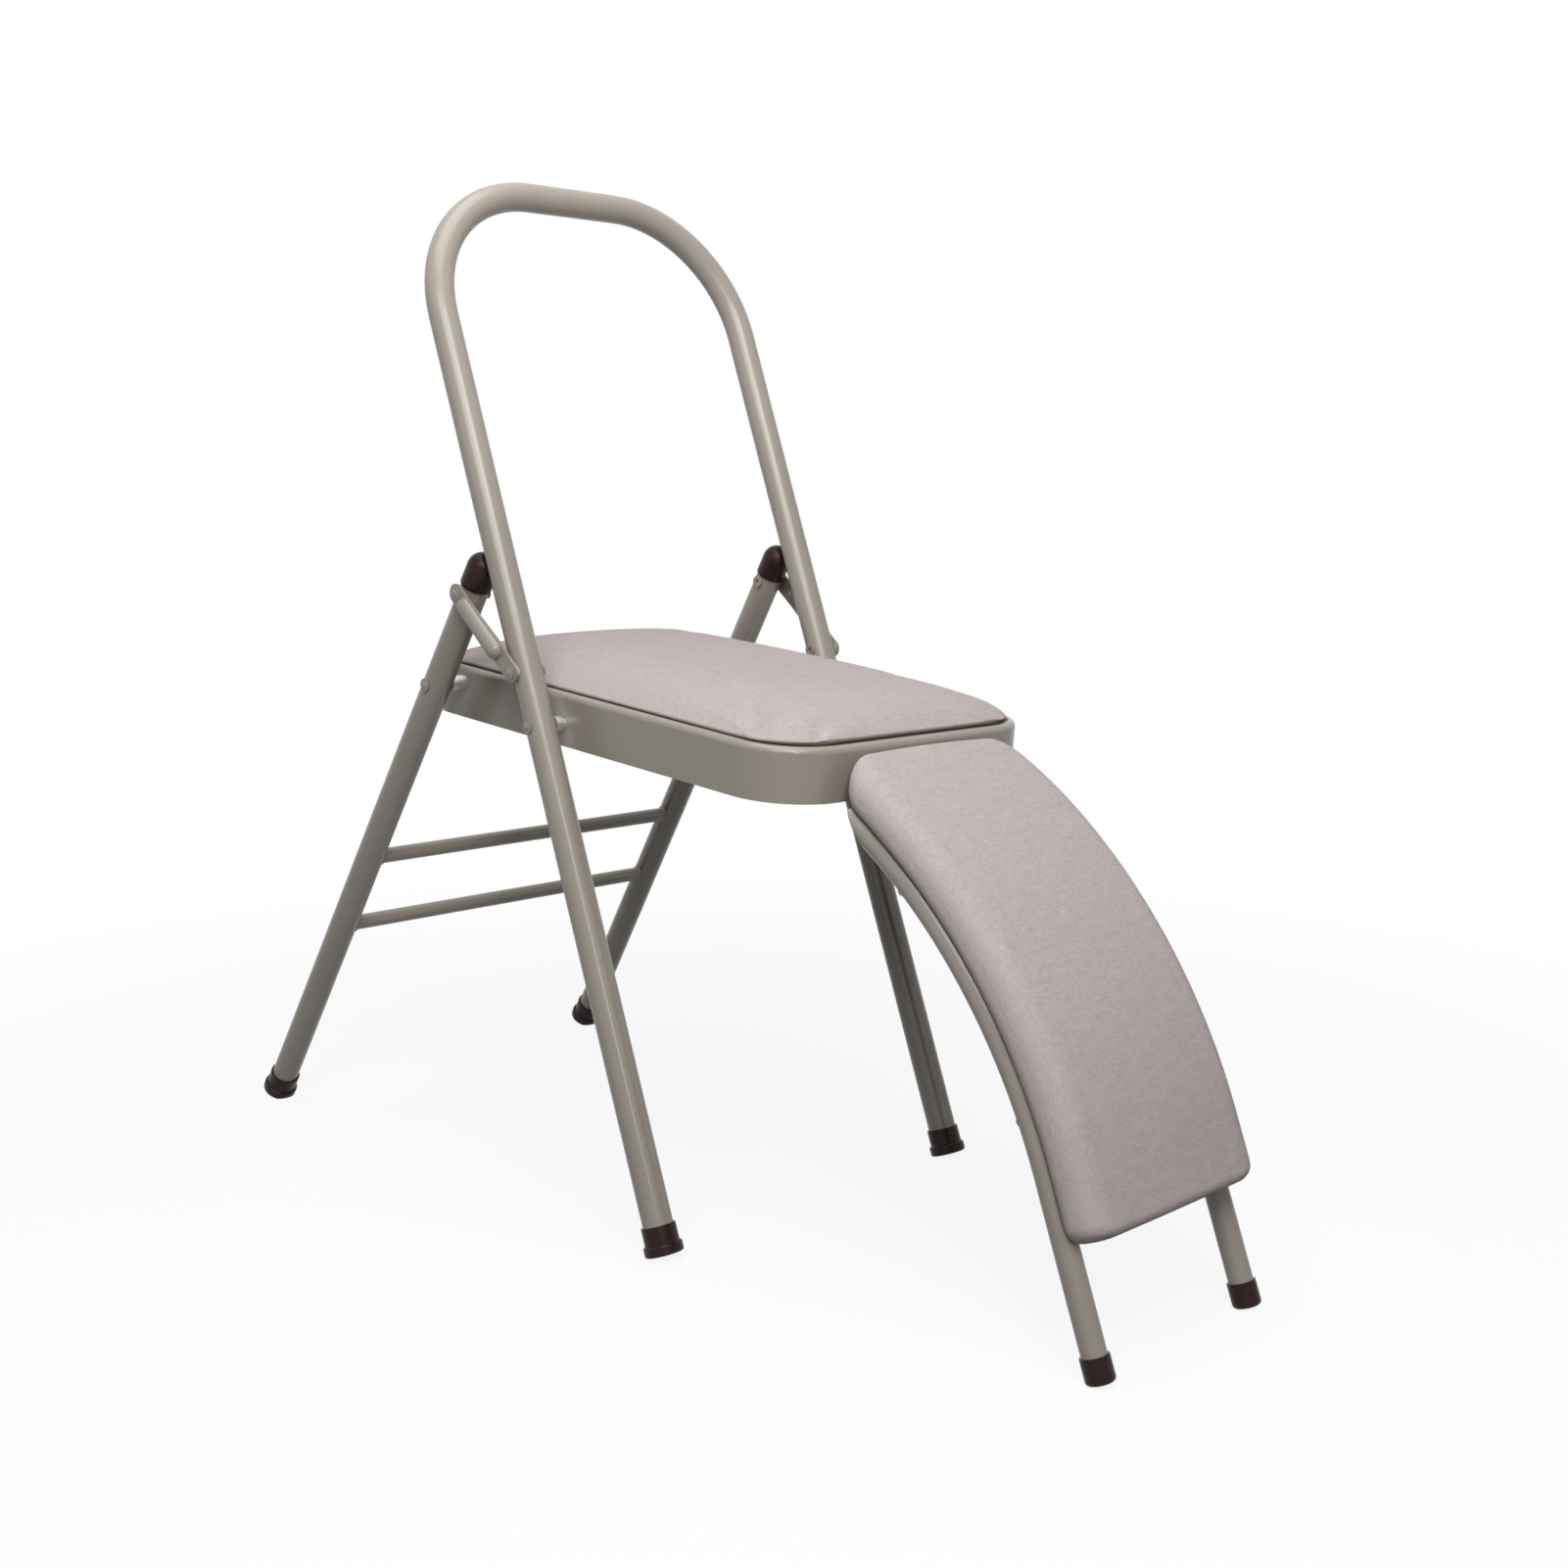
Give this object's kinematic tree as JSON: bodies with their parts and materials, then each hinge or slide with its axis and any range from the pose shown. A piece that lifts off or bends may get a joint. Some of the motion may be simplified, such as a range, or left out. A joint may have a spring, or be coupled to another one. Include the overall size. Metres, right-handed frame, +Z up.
{
  "type": "yoga chair",
  "caption": "Folding steel yoga chair with an open back hoop, a padded seat, rear legs joined by rungs and a curved padded support hooked to the front of the seat.",
  "frame": {"origin": "on the floor, under the middle of the chair's outline with its arc support", "axes": "+X to the sitter's left, +Y to the rear of the chair, +Z up"},
  "size_m": [0.4176, 0.9742, 0.8753],
  "materials": {
    "frame_paint": "satin taupe powder coat",
    "fabric": "fine heathered woven cover, warm grey",
    "cap": "dark brown moulded caps, slightly glossy",
    "board": "plain plywood",
    "plated_steel": "bright zinc plate"
  },
  "bodies": {
    "front_frame": {"front_hoop_tube": "frame_paint", "front_foot_cap_right": "cap", "front_foot_cap_left": "cap", "seat_pivot_rivets": "frame_paint", "front_spacers": "plated_steel", "link_front_washers": "plated_steel", "link_front_rivets": "frame_paint"},
    "seat": {"seat_pan": "frame_paint", "seat_board": "board", "seat_cushion": "fabric", "seat_board_screws": "plated_steel", "hook_rail": "frame_paint", "hook_rail_lugs": "frame_paint"},
    "rear_legs": {"rear_leg_right": "frame_paint", "rear_leg_left": "frame_paint", "upper_rung": "frame_paint", "lower_rung": "frame_paint", "rear_foot_cap_right": "cap", "rear_foot_cap_left": "cap", "rear_top_cap_right": "cap", "rear_top_cap_left": "cap", "rear_pivot_rivets": "frame_paint", "rear_spacers": "plated_steel", "link_inner_rivets": "frame_paint"},
    "fold_links": {"fold_link_right": "frame_paint", "fold_link_left": "frame_paint", "link_rear_rivets": "frame_paint"},
    "arc_support": {"arc_tube_right": "frame_paint", "arc_tube_left": "frame_paint", "arc_upper_cross_tube": "frame_paint", "arc_lower_cross_tube": "frame_paint", "arc_hook_right": "frame_paint", "arc_hook_left": "frame_paint", "arc_board": "board", "arc_pad": "fabric", "arc_board_screws": "plated_steel", "arc_foot_cap_right": "cap", "arc_foot_cap_left": "cap"}
  },
  "joints": [
    {"name": "seat_fold", "type": "hinge", "parent": "front_frame", "child": "seat", "pos_m": [0, 0.04569, 0.41275], "axis": [-1, 0, 0], "range_deg": [0, 109.43]},
    {"name": "rear_leg_fold", "type": "hinge", "parent": "seat", "child": "rear_legs", "pos_m": [0, 0.19046, 0.43671], "axis": [-1, 0, 0], "range_deg": [-56, 0]},
    {"name": "link_fold", "type": "hinge", "parent": "front_frame", "child": "fold_links", "pos_m": [0, 0.06205, 0.45617], "axis": [-1, 0, 0], "range_deg": [0, 135]},
    {"name": "arc_lift", "type": "slide", "parent": "seat", "child": "arc_support", "axis": [0, 0, 1], "range_m": [0, 0.016]}
  ],
  "couplings": [
    {"joint": "rear_leg_fold", "follows": "seat_fold", "ratio": -0.50601},
    {"joint": "link_fold", "follows": "seat_fold", "ratio": 1.2252}
  ]
}
